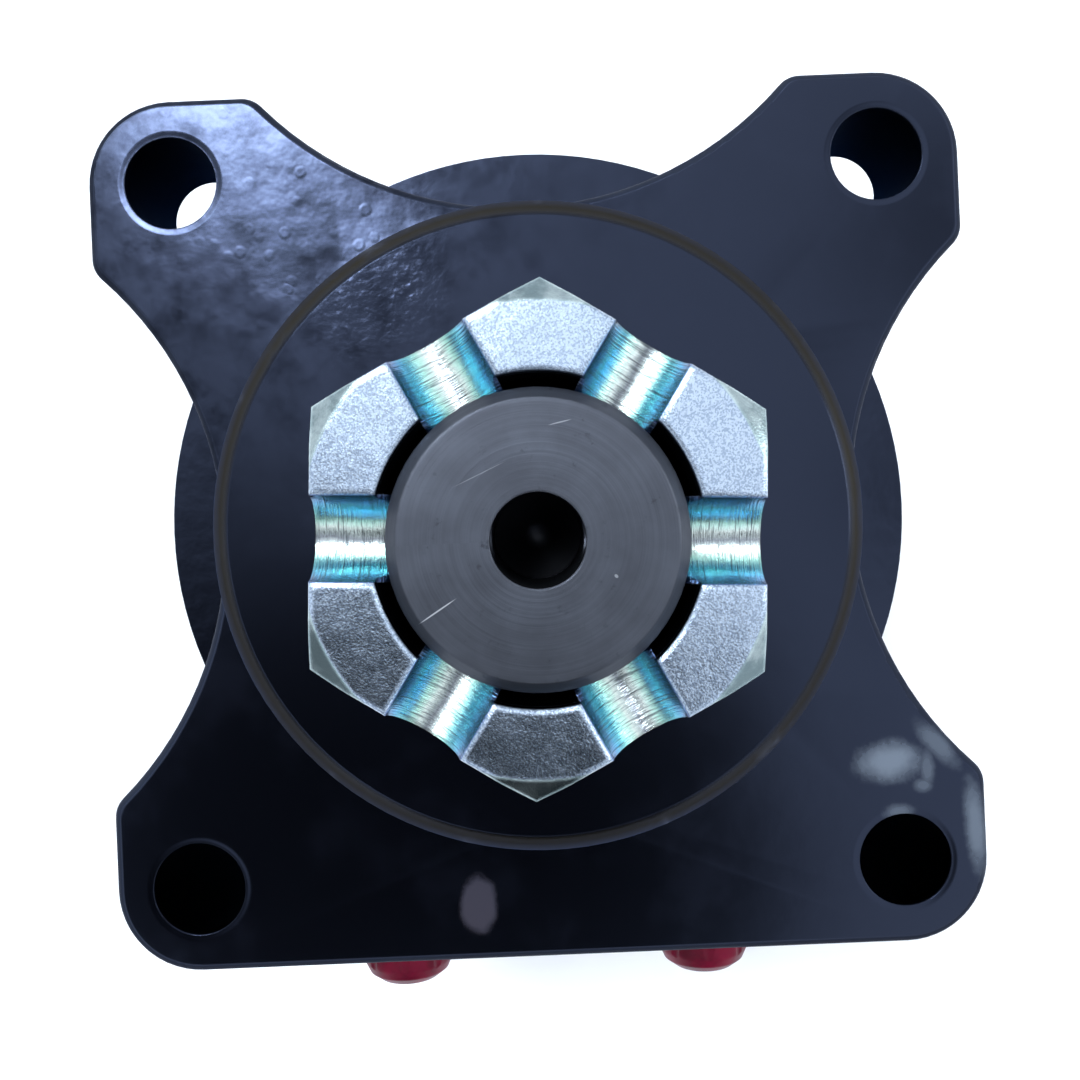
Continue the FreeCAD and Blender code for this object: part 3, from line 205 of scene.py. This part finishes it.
def makeEnamel():
    # gloss black enamel brushed over a sand casting: wet-looking, blue under a cool sky and
    # lumpy, worn to dull iron on the pilot rim, chipped at a knock, with painted reflection on the
    # lower right ear and painted shade in the bolt holes
    material, tree, shader, mm = newMaterial("blackEnamelOnSandCasting", **{
        "IOR": 1.5, "Specular IOR Level": enamel["shine"],
        "Specular Tint": toLinear(enamel["tint"])})
    axes = add(tree, "SeparateXYZ", {"Vector": mm}).node.outputs
    # the four bolt holes fold into one quarter
    folded = add(tree, "CombineXYZ", {
        "X": add(tree, "Math", {0: axes["X"]}, operation="ABSOLUTE"),
        "Y": add(tree, "Math", {0: axes["Y"]}, operation="ABSOLUTE")})
    fields = polar(tree, mm)
    fields["cells"] = add(tree, "TexVoronoi", {"Vector": mm, "Scale": 1.0 / enamel["dropEvery"],
                                               "Randomness": 1.0}, "Distance")
    for name, values in enamel["clouds"].items():
        fields[name] = add(tree, "TexNoise", {"Vector": mm, **values}, **cloudy)
    for name, (vector, centre) in {"fromEar": (mm, enamel["ear"]),
                                   "fromBeads": (mm, enamel["beadCentre"]),
                                   "fromHole": (folded, enamel["boltHole"])}.items():
        fields[name] = add(tree, "VectorMath", {0: vector, 1: centre}, "Value", **distance)
    mask = {name: add(tree, "MapRange", {0: fields[field], 1: start, 2: full}, **smooth)
            for name, (field, start, full) in enamel["masks"].items()}
    # lumps and droplets gather inside the upper left ear, fine beads on the pilot face
    drops = both(tree, mask["drop"], mask["corner"], mask["dropPatch"])
    beads = both(tree, fields["beads"], mask["beadPatch"])
    # dull blotches where the paint dried thin
    dull = both(tree, mask["nearEar"], enamel["dullAmount"], mask["blotch"])
    rim = both(tree, mask["rimOut"], mask["rimUp"], mask["rimWear"])
    shadedHole = both(tree, mask["inHole"], mask["belowFace"])  # bolt hole walls: painted shade, black and metallic so they reflect nothing
    chip = spot(tree, mm, *enamel["chip"])
    # painted reflection: whitish patches of glare on the lower right ear, which also roughen the
    # paint
    glare = 0.0
    for place, reach, turn, seed, strength in enamel["glarePatches"]:
        patch = spot(tree, mm, (*place, 0.0), (*reach, enamel["glareDepth"]),
                     enamel["glareRagged"], seed, enamel["glareGrain"], turn,
                     enamel["glareSoft"])
        glare = add(tree, "Math", {0: glare, 1: both(tree, patch, strength)}, **larger)
    colour = paintOver(tree, toLinear(enamel["paint"]), [
        (mask["haze"], toLinear(enamel["haze"])), (glare, toLinear(enamel["glare"])),
        (chip, toLinear(enamel["bare"])), (rim, toLinear(enamel["band"])),
        (shadedHole, toLinear(enamel["shadedBore"]))])
    tree.links.new(colour, shader.inputs["Base Color"])
    # bare joins the worn pilot rim with the painted shade of the bolt hole walls: both turn
    # metallic and rough
    bare = add(tree, "Math", {0: rim, 1: shadedHole}, **larger)
    dead = add(tree, "Math", {0: bare, 1: dull}, **larger)
    tree.links.new(dead, shader.inputs["Metallic"])
    chipAndGlare = add(tree, "Math", {0: chip, 1: glare}, **larger)
    roughened = add(tree, "Math", {0: bare, 1: chipAndGlare}, **larger)
    gloss = add(tree, "Math", {0: mask["haze"], 1: enamel["hazeRough"], 2: enamel["rough"]},
                **timesPlus)
    gloss = add(tree, "Math", {0: roughened, 1: enamel["wornRough"], 2: gloss}, **timesPlus)
    # paint lies thin and matt on the flange's rounded edge
    thin = both(tree, mask["edgeTop"], mask["edgeFoot"], enamel["thinRough"])
    matt = add(tree, "Math", {0: thin, 1: shadedHole}, **larger)
    rough = add(tree, "Math", {0: gloss, 1: matt}, **larger)
    tree.links.new(rough, shader.inputs["Roughness"])
    # lumps are tall at the corner and on the unmachined sides and back, faint elsewhere
    face = add(tree, "Math", {0: mask["corner"], 1: enamel["cornerLumps"],
                              2: enamel["faceLumps"]}, **timesPlus)
    tall = add(tree, "Math", {0: face, 1: mask["asCast"]}, **larger)
    normal = relief(tree, [
        (both(tree, fields["lumps"], tall), enamel["castingDepth"]),
        (both(tree, fields["peel"], tall), enamel["peelDepth"]),
        (drops, enamel["dropDepth"]), (beads, enamel["beadDepth"]),
        (mask["mouth"], enamel["mouthDepth"])], enamel["edge"])
    tree.links.new(normal, shader.inputs["Normal"])
    return material


zinc = {
    # the two chamfer colours on this line are painted sheen
    "plate": "c2d1e1", "dull": "9dadc0", "chamfer": "98adb0", "chamferSheen": "cbdcdc",
    # the near black bore colour on this line is painted shade
    "threadShade": "07080a", "mark": "5b6468", "markAmount": 0.8,
    "rough": 0.115, "roughSpread": 0.14, "fleck": 0.13, "edge": 0.5,
    # size in mm, seed, detail, roughness; the frost is drawn as coarse as it needs to show
    "clouds": {"frost": cloud(0.2, 1.0, 2.0, 0.6), "blotch": cloud(3.0, 2.0, 4.0, 0.6)},
    "frostDepth": 0.015, "markDepth": 0.09, "blotchDepth": 0.06,
    # the slots: half width, turn in degrees and how far the colours wander
    "slotHalf": 3.6, "turn": -2.7, "wander": 0.16, "wanderFrom": 0.42,
    # the slot bands below are passivate tint and painted reflection of the groove's curve
    "slotTintAndSheen": ((0.0, "6f86b4"), (0.08, "6ba9cb"), (0.17, "84ccd0"), (0.28, "acdccb"),
             (0.38, "cfdcd2"), (0.5, "8f959a"), (0.6, "dbe6de"), (0.71, "aedccd"),
             (0.82, "82c6cb"), (0.92, "639fc0"), (1.0, "6a7fac")),
    # cutter marks: stretch along the slot, across it and from slot to slot
    "markStretch": (6.5, 0.35, 0.5), "marks": cloud(1.0, 5.0, 3.0, 0.6),
    "masks": {
        "slotTop": ("height", 76.95, 76.8), "slotFloor": ("height", 71.5, 72.0),
        "slotSide": ("away", 3.75, 3.6),
        "chamferOut": ("radius", 19.75, 19.95), "chamferUp": ("height", 73.8, 74.4),
        "shadedBore": ("radius", 14.15, 13.95), "fleck": ("flecks", 0.3, 0.62),
        "chamferSheen": ("blotch", 0.4, 0.62), "mark": ("marks", 0.5, 0.66),
    },
}


def makeZinc():
    # bright zinc plate on a forged nut: frosted granular tops that sparkle,
    # with blue and green passivate colours, laid out as painted reflection bands, and cutter marks
    # in the milled slots; painted sheen on the chamfers and painted shade in the bore
    material, tree, shader, mm = newMaterial("brightZincPlate", Metallic=1.0)
    flecks = add(tree, "TexVoronoi", {"Vector": mm, "Scale": 1.0 / zinc["fleck"]}, "Color")
    fields = {**polar(tree, mm), "flecks": flecks}
    for name, values in zinc["clouds"].items():
        fields[name] = add(tree, "TexNoise", {"Vector": mm, **values}, **cloudy)
    # fold the angle into one sixth, then measure along the slot and across it
    sixth = math.pi / 3
    turned = add(tree, "Math", {0: fields["angle"], 1: math.radians(zinc["turn"])},
                 operation="SUBTRACT")
    folded = add(tree, "Math", {0: turned, 1: sixth / 2, 2: -sixth / 2}, operation="WRAP")
    across = both(tree, fields["radius"], add(tree, "Math", {0: folded}, operation="SINE"))
    along = both(tree, fields["radius"], add(tree, "Math", {0: folded}, operation="COSINE"))
    fields["away"] = add(tree, "Math", {0: across}, operation="ABSOLUTE")
    stretch = zinc["markStretch"]
    lay = add(tree, "CombineXYZ", {"X": both(tree, along, stretch[0]),
                                   "Y": both(tree, across, stretch[1]),
                                   "Z": both(tree, fields["angle"], stretch[2])})
    fields["marks"] = add(tree, "TexNoise", {"Vector": lay, **zinc["marks"]}, **cloudy)
    mask = {name: add(tree, "MapRange", {0: fields[field], 1: start, 2: full}, **smooth)
            for name, (field, start, full) in zinc["masks"].items()}
    inSlot = both(tree, mask["slotTop"], mask["slotSide"], mask["slotFloor"])
    outside = add(tree, "Math", {0: 1.0, 1: inSlot}, operation="SUBTRACT")
    # passivate colours run across the slot in bands that follow the groove's curve: the plating's
    # own tint and painted reflection both
    wander = add(tree, "Math", {0: fields["blotch"], 1: zinc["wander"], 2: zinc["wanderFrom"]},
                 **timesPlus)
    place = add(tree, "Math", {0: across, 1: 0.5 / zinc["slotHalf"], 2: wander}, **timesPlus)
    tintAndSheenBar = add(tree, "ValToRGB", {"Fac": place})
    stops = tintAndSheenBar.node.color_ramp.elements
    for where, name in zinc["slotTintAndSheen"][1:-1]:
        stops.new(where)
    for item, (where, name) in zip(stops, zinc["slotTintAndSheen"]):
        item.position = where
        item.color = toLinear(name)
    # painted sheen: the corner chamfers get a greener tone and pale streaks where the tilted facets
    # catch light
    chamfer = both(tree, mask["chamferOut"], mask["chamferUp"], outside)
    colour = paintOver(tree, toLinear(zinc["dull"]), [
        (mask["fleck"], toLinear(zinc["plate"])),
        (chamfer, toLinear(zinc["chamfer"])),
        (both(tree, chamfer, mask["chamferSheen"]), toLinear(zinc["chamferSheen"])),
        (inSlot, tintAndSheenBar),
        (both(tree, inSlot, mask["mark"], zinc["markAmount"]), toLinear(zinc["mark"])),
        # painted shade: near black over the countersink and threads of the bore
        (both(tree, mask["shadedBore"], outside), toLinear(zinc["threadShade"]))])
    tree.links.new(colour, shader.inputs["Base Color"])
    rough = add(tree, "Math", {0: fields["blotch"], 1: zinc["roughSpread"],
                               2: zinc["rough"]}, **timesPlus)
    tree.links.new(rough, shader.inputs["Roughness"])
    normal = relief(tree, [(both(tree, fields["frost"], outside), zinc["frostDepth"]),
                           (both(tree, fields["marks"], inSlot), zinc["markDepth"]),
                           (fields["blotch"], zinc["blotchDepth"])], zinc["edge"])
    tree.links.new(normal, shader.inputs["Normal"])
    return material


turnedSteel = {
    "light": "53575f", "dark": "494c53", "stain": "2a2c30", "bright": "c8ccd0",
    # the centre hole colour on this line is painted shade
    "centreShade": "26272a", "rough": 0.28, "roughSpread": 0.16, "ringShare": 0.4, "cloudShare": 0.6,
    "clouds": {"cloud": cloud(6.0, 2.0, 4.0, 0.6), "stains": cloud(1.3, 3.0, 4.0, 0.7)},
    # lathe rings: how many per mm outwards and along, and their drift with the angle
    "ringStretch": (4.0, 4.0, 0.3), "rings": cloud(1.0, 1.0, 4.0, 0.65),
    "ringDepth": 0.012, "edge": 0.3,
    "masks": {
        "stain": ("stains", 0.6, 0.74), "light": ("blend", 0.35, 0.65),
        "centreOut": ("radius", 4.1, 3.9), "centreTop": ("height", 77.8, 77.3),
        "centreFloor": ("height", 60.0, 61.0),
    },
    # place, half length and half width, turn in radians, strength
    "scratches": (
        ((-8.5, -5.5), (1.9, 0.07), 0.56, 0.75), ((-4.6, 5.6), (2.4, 0.05), 0.42, 0.15),
        ((6.3, -3.2), (0.2, 0.14), -0.8, 0.4), ((2.2, 9.6), (1.0, 0.06), 0.2, 0.3)),
    # height of the shaft's end, depth of a scratch, raggedness, seed and grain of its rim
    "end": 77.9, "scratchDepth": 2.0, "scratchRim": (0.1, 4.0, 1.0),
}


def makeTurnedSteel():
    # turned, heat-darkened shaft steel: fine lathe rings about the axis and a few scratches
    material, tree, shader, mm = newMaterial("turnedDarkSteel", Metallic=1.0)
    fields = polar(tree, mm)
    for name, values in turnedSteel["clouds"].items():
        fields[name] = add(tree, "TexNoise", {"Vector": mm, **values}, **cloudy)
    stretch = turnedSteel["ringStretch"]
    lathe = add(tree, "CombineXYZ", {"X": both(tree, fields["radius"], stretch[0]),
                                     "Y": both(tree, fields["height"], stretch[1]),
                                     "Z": both(tree, fields["angle"], stretch[2])})
    rings = add(tree, "TexNoise", {"Vector": lathe, **turnedSteel["rings"]}, **cloudy)
    fields["blend"] = add(tree, "Math", {
        0: rings, 1: turnedSteel["ringShare"],
        2: both(tree, fields["cloud"], turnedSteel["cloudShare"])}, **timesPlus)
    mask = {name: add(tree, "MapRange", {0: fields[field], 1: start, 2: full}, **smooth)
            for name, (field, start, full) in turnedSteel["masks"].items()}
    layers = [(mask["light"], toLinear(turnedSteel["light"])),
              (both(tree, mask["stain"], fields["cloud"]), toLinear(turnedSteel["stain"]))]
    for place, reach, turn, strength in turnedSteel["scratches"]:
        line = spot(tree, mm, (*place, turnedSteel["end"]),
                    (*reach, turnedSteel["scratchDepth"]), *turnedSteel["scratchRim"], turn)
        layers.append((both(tree, line, strength), toLinear(turnedSteel["bright"])))
    # painted shade: the centre hole is darkened as shade deep inside it
    centre = both(tree, mask["centreOut"], mask["centreTop"], mask["centreFloor"])
    layers.append((centre, toLinear(turnedSteel["centreShade"])))
    tree.links.new(paintOver(tree, toLinear(turnedSteel["dark"]), layers),
                   shader.inputs["Base Color"])
    rough = add(tree, "Math", {0: fields["cloud"], 1: turnedSteel["roughSpread"],
                               2: turnedSteel["rough"]}, **timesPlus)
    tree.links.new(rough, shader.inputs["Roughness"])
    tree.links.new(relief(tree, [(rings, turnedSteel["ringDepth"])], turnedSteel["edge"]),
                   shader.inputs["Normal"])
    return material


plugPlastic = {
    "red": "730428", "shade": "52041c", "rough": 0.34, "roughSpread": 0.12,
    # size in mm, seed, detail, roughness
    "drift": cloud(4.0, 1.0), "pits": cloud(0.5, 2.0, 2.0, 0.5),
    "redFrom": 0.3, "redFull": 0.7, "pitDepth": 0.02, "edge": 0.5,
}


def makePlugPlastic():
    # injection moulded red polyethylene: waxy, slightly see-through at the edges
    material, tree, shader, mm = newMaterial("redPolyethyleneMoulded", **{
        "IOR": 1.51, "Specular IOR Level": 0.15, "Subsurface Weight": 0.12,
        "Subsurface Scale": 0.001})
    drift = add(tree, "TexNoise", {"Vector": mm, **plugPlastic["drift"]}, **cloudy)
    pits = add(tree, "TexNoise", {"Vector": mm, **plugPlastic["pits"]}, **cloudy)
    red = add(tree, "MapRange", {0: drift, 1: plugPlastic["redFrom"],
                                 2: plugPlastic["redFull"]}, **smooth)
    colour = paintOver(tree, toLinear(plugPlastic["shade"]),
                       [(red, toLinear(plugPlastic["red"]))])
    tree.links.new(colour, shader.inputs["Base Color"])
    rough = add(tree, "Math", {0: drift, 1: plugPlastic["roughSpread"],
                               2: plugPlastic["rough"]}, **timesPlus)
    tree.links.new(rough, shader.inputs["Roughness"])
    tree.links.new(relief(tree, [(pits, plugPlastic["pitDepth"])], plugPlastic["edge"]),
                   shader.inputs["Normal"])
    return material


rubber = {
    "black": "0c0c0c", "bloom": "1c1d20", "rough": 0.5, "roughSpread": 0.2,
    "drift": cloud(2.5, 1.0, 4.0, 0.6), "bloomDepth": 0.03, "edge": 0.2,
}


def makeRubber():
    # nitrile rubber, moulded: dull black with a faint bloom
    material, tree, shader, mm = newMaterial("nitrileRubberMoulded", IOR=1.52)
    bloom = add(tree, "TexNoise", {"Vector": mm, **rubber["drift"]}, **cloudy)
    colour = paintOver(tree, toLinear(rubber["black"]), [(bloom, toLinear(rubber["bloom"]))])
    tree.links.new(colour, shader.inputs["Base Color"])
    rough = add(tree, "Math", {0: bloom, 1: rubber["roughSpread"], 2: rubber["rough"]},
                **timesPlus)
    tree.links.new(rough, shader.inputs["Roughness"])
    tree.links.new(relief(tree, [(bloom, rubber["bloomDepth"])], rubber["edge"]),
                   shader.inputs["Normal"])
    return material


metals = {
    # name, light colour, dark colour, least roughness, grain size and relief depth in mm
    "bearing_steel": ("groundBearingSteel", "b4b7ba", "96999d", 0.13, 0.5, 0.004),
    "gear_steel": ("lappedGearSteel", "989a9e", "7b7e84", 0.21, 0.6, 0.008),
    "spring_steel": ("bluedSpringSteel", "434956", "2d3138", 0.29, 1.2, 0.01),
    "screw_steel": ("blackOxideScrewSteel", "35363a", "1f2023", 0.33, 1.0, 0.02),
    "copper": ("annealedCopperWasher", "b87a59", "985a38", 0.25, 1.4, 0.015),
}
metalGrain = {"driftSize": 6, "twist": 2.0, "lightFrom": 0.35, "lightFull": 0.65,
              "roughSpread": 0.16, "edge": 0.25}


def makeMetal(values):
    # a plain metal: cloudy colour, roughness to match and a fine ground or rolled grain
    name, light, dark, rough, size, depth = values
    material, tree, shader, mm = newMaterial(name, Metallic=1.0)
    fields = polar(tree, mm)
    lay = add(tree, "CombineXYZ", {"X": fields["radius"], "Y": fields["height"],
                                   "Z": both(tree, fields["angle"], metalGrain["twist"])})
    rings = add(tree, "TexNoise", {"Vector": lay, **cloud(size, 1.0, 4.0, 0.6)}, **cloudy)
    drift = add(tree, "TexNoise", {"Vector": mm, **cloud(size * metalGrain["driftSize"], 2.0,
                                                         4.0, 0.6)}, **cloudy)
    pale = add(tree, "MapRange", {0: drift, 1: metalGrain["lightFrom"],
                                  2: metalGrain["lightFull"]}, **smooth)
    colour = paintOver(tree, toLinear(dark), [(pale, toLinear(light))])
    tree.links.new(colour, shader.inputs["Base Color"])
    shade = add(tree, "Math", {0: drift, 1: metalGrain["roughSpread"],
                               2: rough}, **timesPlus)
    tree.links.new(shade, shader.inputs["Roughness"])
    tree.links.new(relief(tree, [(rings, depth)], metalGrain["edge"]),
                   shader.inputs["Normal"])
    return material


finishes = {
    "black_enamel": makeEnamel(),
    "zinc_plate": makeZinc(),
    "shaft_steel": makeTurnedSteel(),
    "red_plastic": makePlugPlastic(),
    "black_rubber": makeRubber(),
}
for slotName, values in metals.items():
    finishes[slotName] = makeMetal(values)
print("materials made:", len(finishes))

for name, item in nodes.items():
    item.data.materials.clear()
    item.data.materials.append(finishes[slotOf[name]])


# outer nodes get a joined copy: angle in degrees past which an edge stays crisp
outer = {
    "housing": 26, "output_shaft": 26, "woodruff_key": 30, "slotted_nut": 26, "dust_seal": 30,
    "wear_plate": 30, "stator_ring": 30, "end_cover": 30, "cover_screws": 30,
    "screw_washers": 30, "drain_plug": 30, "drain_washer": 30,
    "port_plug_left": 26, "port_plug_right": 26,
}
joining = {"stepsPerMetre": 1e7, "faceWeight": 60}


def joinedCopy(name, sharpAngle):
    source = nodes[name].data
    corners = np.empty(len(source.vertices) * 3)
    source.vertices.foreach_get("co", corners)
    corners = corners.reshape(-1, 3)
    faces = np.empty(len(source.loops), dtype=np.int64)
    source.loops.foreach_get("vertex_index", faces)
    # equal corners, to a tenth of a micron, become one
    steps = np.round(corners * joining["stepsPerMetre"]).astype(np.int64)
    unused, first, same = np.unique(steps, axis=0, return_index=True, return_inverse=True)
    triangles = same.reshape(-1)[faces].reshape(-1, 3)
    a, b, c = triangles.T
    mesh = bpy.data.meshes.new(name + "Skin")
    mesh.from_pydata(corners[first].tolist(), [],
                     triangles[(a != b) & (b != c) & (c != a)].tolist())
    mesh.shade_smooth()
    mesh.set_sharp_from_angle(angle=math.radians(sharpAngle))
    mesh.materials.append(finishes[slotOf[name]])
    piece = bpy.data.objects.new(name + "_skin", mesh)
    scene.collection.objects.link(piece)
    flatten = piece.modifiers.new("faceNormals", "WEIGHTED_NORMAL")
    flatten.keep_sharp = True
    flatten.weight = joining["faceWeight"]
    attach(piece, bodyOf[name])
    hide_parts(name)


for name, sharpAngle in outer.items():
    joinedCopy(name, sharpAngle)
print("outer pieces joined:", len(outer))

# looking straight down the shaft, from a little above its axis
view = {
    "distance": 0.175, "rise": 0.0035, "roll": -2.4, "lens": 39.5, "sensor": 36,
    "near": 0.01, "far": 20, "shiftX": 0.00185, "shiftY": -0.0393,
}
roll = math.radians(view["roll"])
camera = bpy.data.objects.new("camera", bpy.data.cameras.new("camera"))
camera.data.lens = view["lens"]
camera.data.sensor_width = view["sensor"]
camera.data.clip_start = view["near"]
camera.data.clip_end = view["far"]
camera.data.shift_x = view["shiftX"]
camera.data.shift_y = view["shiftY"]
camera.location = (-math.sin(roll) * view["rise"], math.cos(roll) * view["rise"],
                   view["distance"])
camera.rotation_euler = (0, 0, roll)
scene.collection.objects.link(camera)
scene.camera = camera

board = {"reach": 3.0, "pale": "f6f6f6", "paler": "fcfcfc", "rough": 0.9,
         "mottle": cloud(300.0, 1.0)}
low, reach = cadBox[0].z, board["reach"]
floorMesh = bpy.data.meshes.new("floor")
floorMesh.from_pydata([(-reach, -reach, low), (reach, -reach, low), (reach, reach, low),
                       (-reach, reach, low)], [], [(0, 1, 2, 3)])
floor = bpy.data.objects.new("floor", floorMesh)
scene.collection.objects.link(floor)
# white painted board, flat: matt, with a faint mottle
pale, tree, shader, mm = newMaterial("matteWhiteBoard", Roughness=board["rough"])
mottle = add(tree, "TexNoise", {"Vector": mm, **board["mottle"]}, **cloudy)
shade = paintOver(tree, toLinear(board["pale"]), [(mottle, toLinear(board["paler"]))])
tree.links.new(shade, shader.inputs["Base Color"])
floorMesh.materials.append(pale)

light = {
    "sky": (0.93, 1.0, 1.12), "strength": 1.3, "low": 0.45, "lowStart": 0.2, "lowEnd": 0.75,
    # each soft lobe: heading across and up, near and far reach, level that it brings
    "lobes": (
        ((-0.20, -0.24), 0.19, 0.27, 0.0), ((0.0, -0.27), 0.17, 0.24, 0.0),
        ((-0.27, -0.02), 0.02, 0.12, 0.2), ((0.33, 0.20), 0.03, 0.12, 0.25),
        ((0.31, 0.0), 0.02, 0.09, 0.3), ((-0.33, 0.2), 0.03, 0.1, 0.4),
        ((-0.22, 0.38), 0.05, 0.16, 32.0), ((0.0, -0.95), 0.3, 0.6, 0.03),
        ((-0.82, -0.47), 0.15, 0.45, 0.2)),
    # name, place, size, power and colour of each softbox
    "lamps": (("keySoftbox", (-0.55, 0.75, 0.9), 0.5, 7.0, (0.9, 1.0, 1.08)),
              ("sideSoftbox", (0.9, 0.1, 0.5), 0.4, 2.5, (0.95, 1.0, 1.04))),
}
world = bpy.data.worlds.new("studio")
scene.world = world
world.use_nodes = True
tree = world.node_tree
tree.nodes.clear()
heading = add(tree, "TexCoord", out="Generated")
up = add(tree, "SeparateXYZ", {"Vector": heading}, "Z")
level = add(tree, "MapRange", {0: up, 1: light["lowStart"], 2: light["lowEnd"],
                               3: light["low"], 4: 1.0}, **smooth)
for (x, y), near, far, amount in light["lobes"]:
    centre = (x, y, math.sqrt(1 - x * x - y * y))
    away = add(tree, "VectorMath", {0: heading, 1: centre}, "Value", **distance)
    lobe = add(tree, "MapRange", {0: away, 1: far, 2: near}, **smooth)
    level = add(tree, "Mix", {0: lobe, 2: level, 3: amount}, data_type="FLOAT")
power = add(tree, "Math", {0: level, 1: light["strength"]}, **times)
background = add(tree, "Background", {"Color": (*light["sky"], 1.0), "Strength": power})
add(tree, "OutputWorld", {"Surface": background}, None)

for name, place, size, energy, colour in light["lamps"]:
    lamp = bpy.data.lights.new(name, "AREA")
    lamp.shape = "SQUARE"
    lamp.size = size
    lamp.energy = energy
    lamp.color = colour
    item = bpy.data.objects.new(name, lamp)
    item.location = place
    item.rotation_euler = (-Vector(place)).to_track_quat("-Z", "Y").to_euler()
    scene.collection.objects.link(item)
print("camera, floor and lights set")
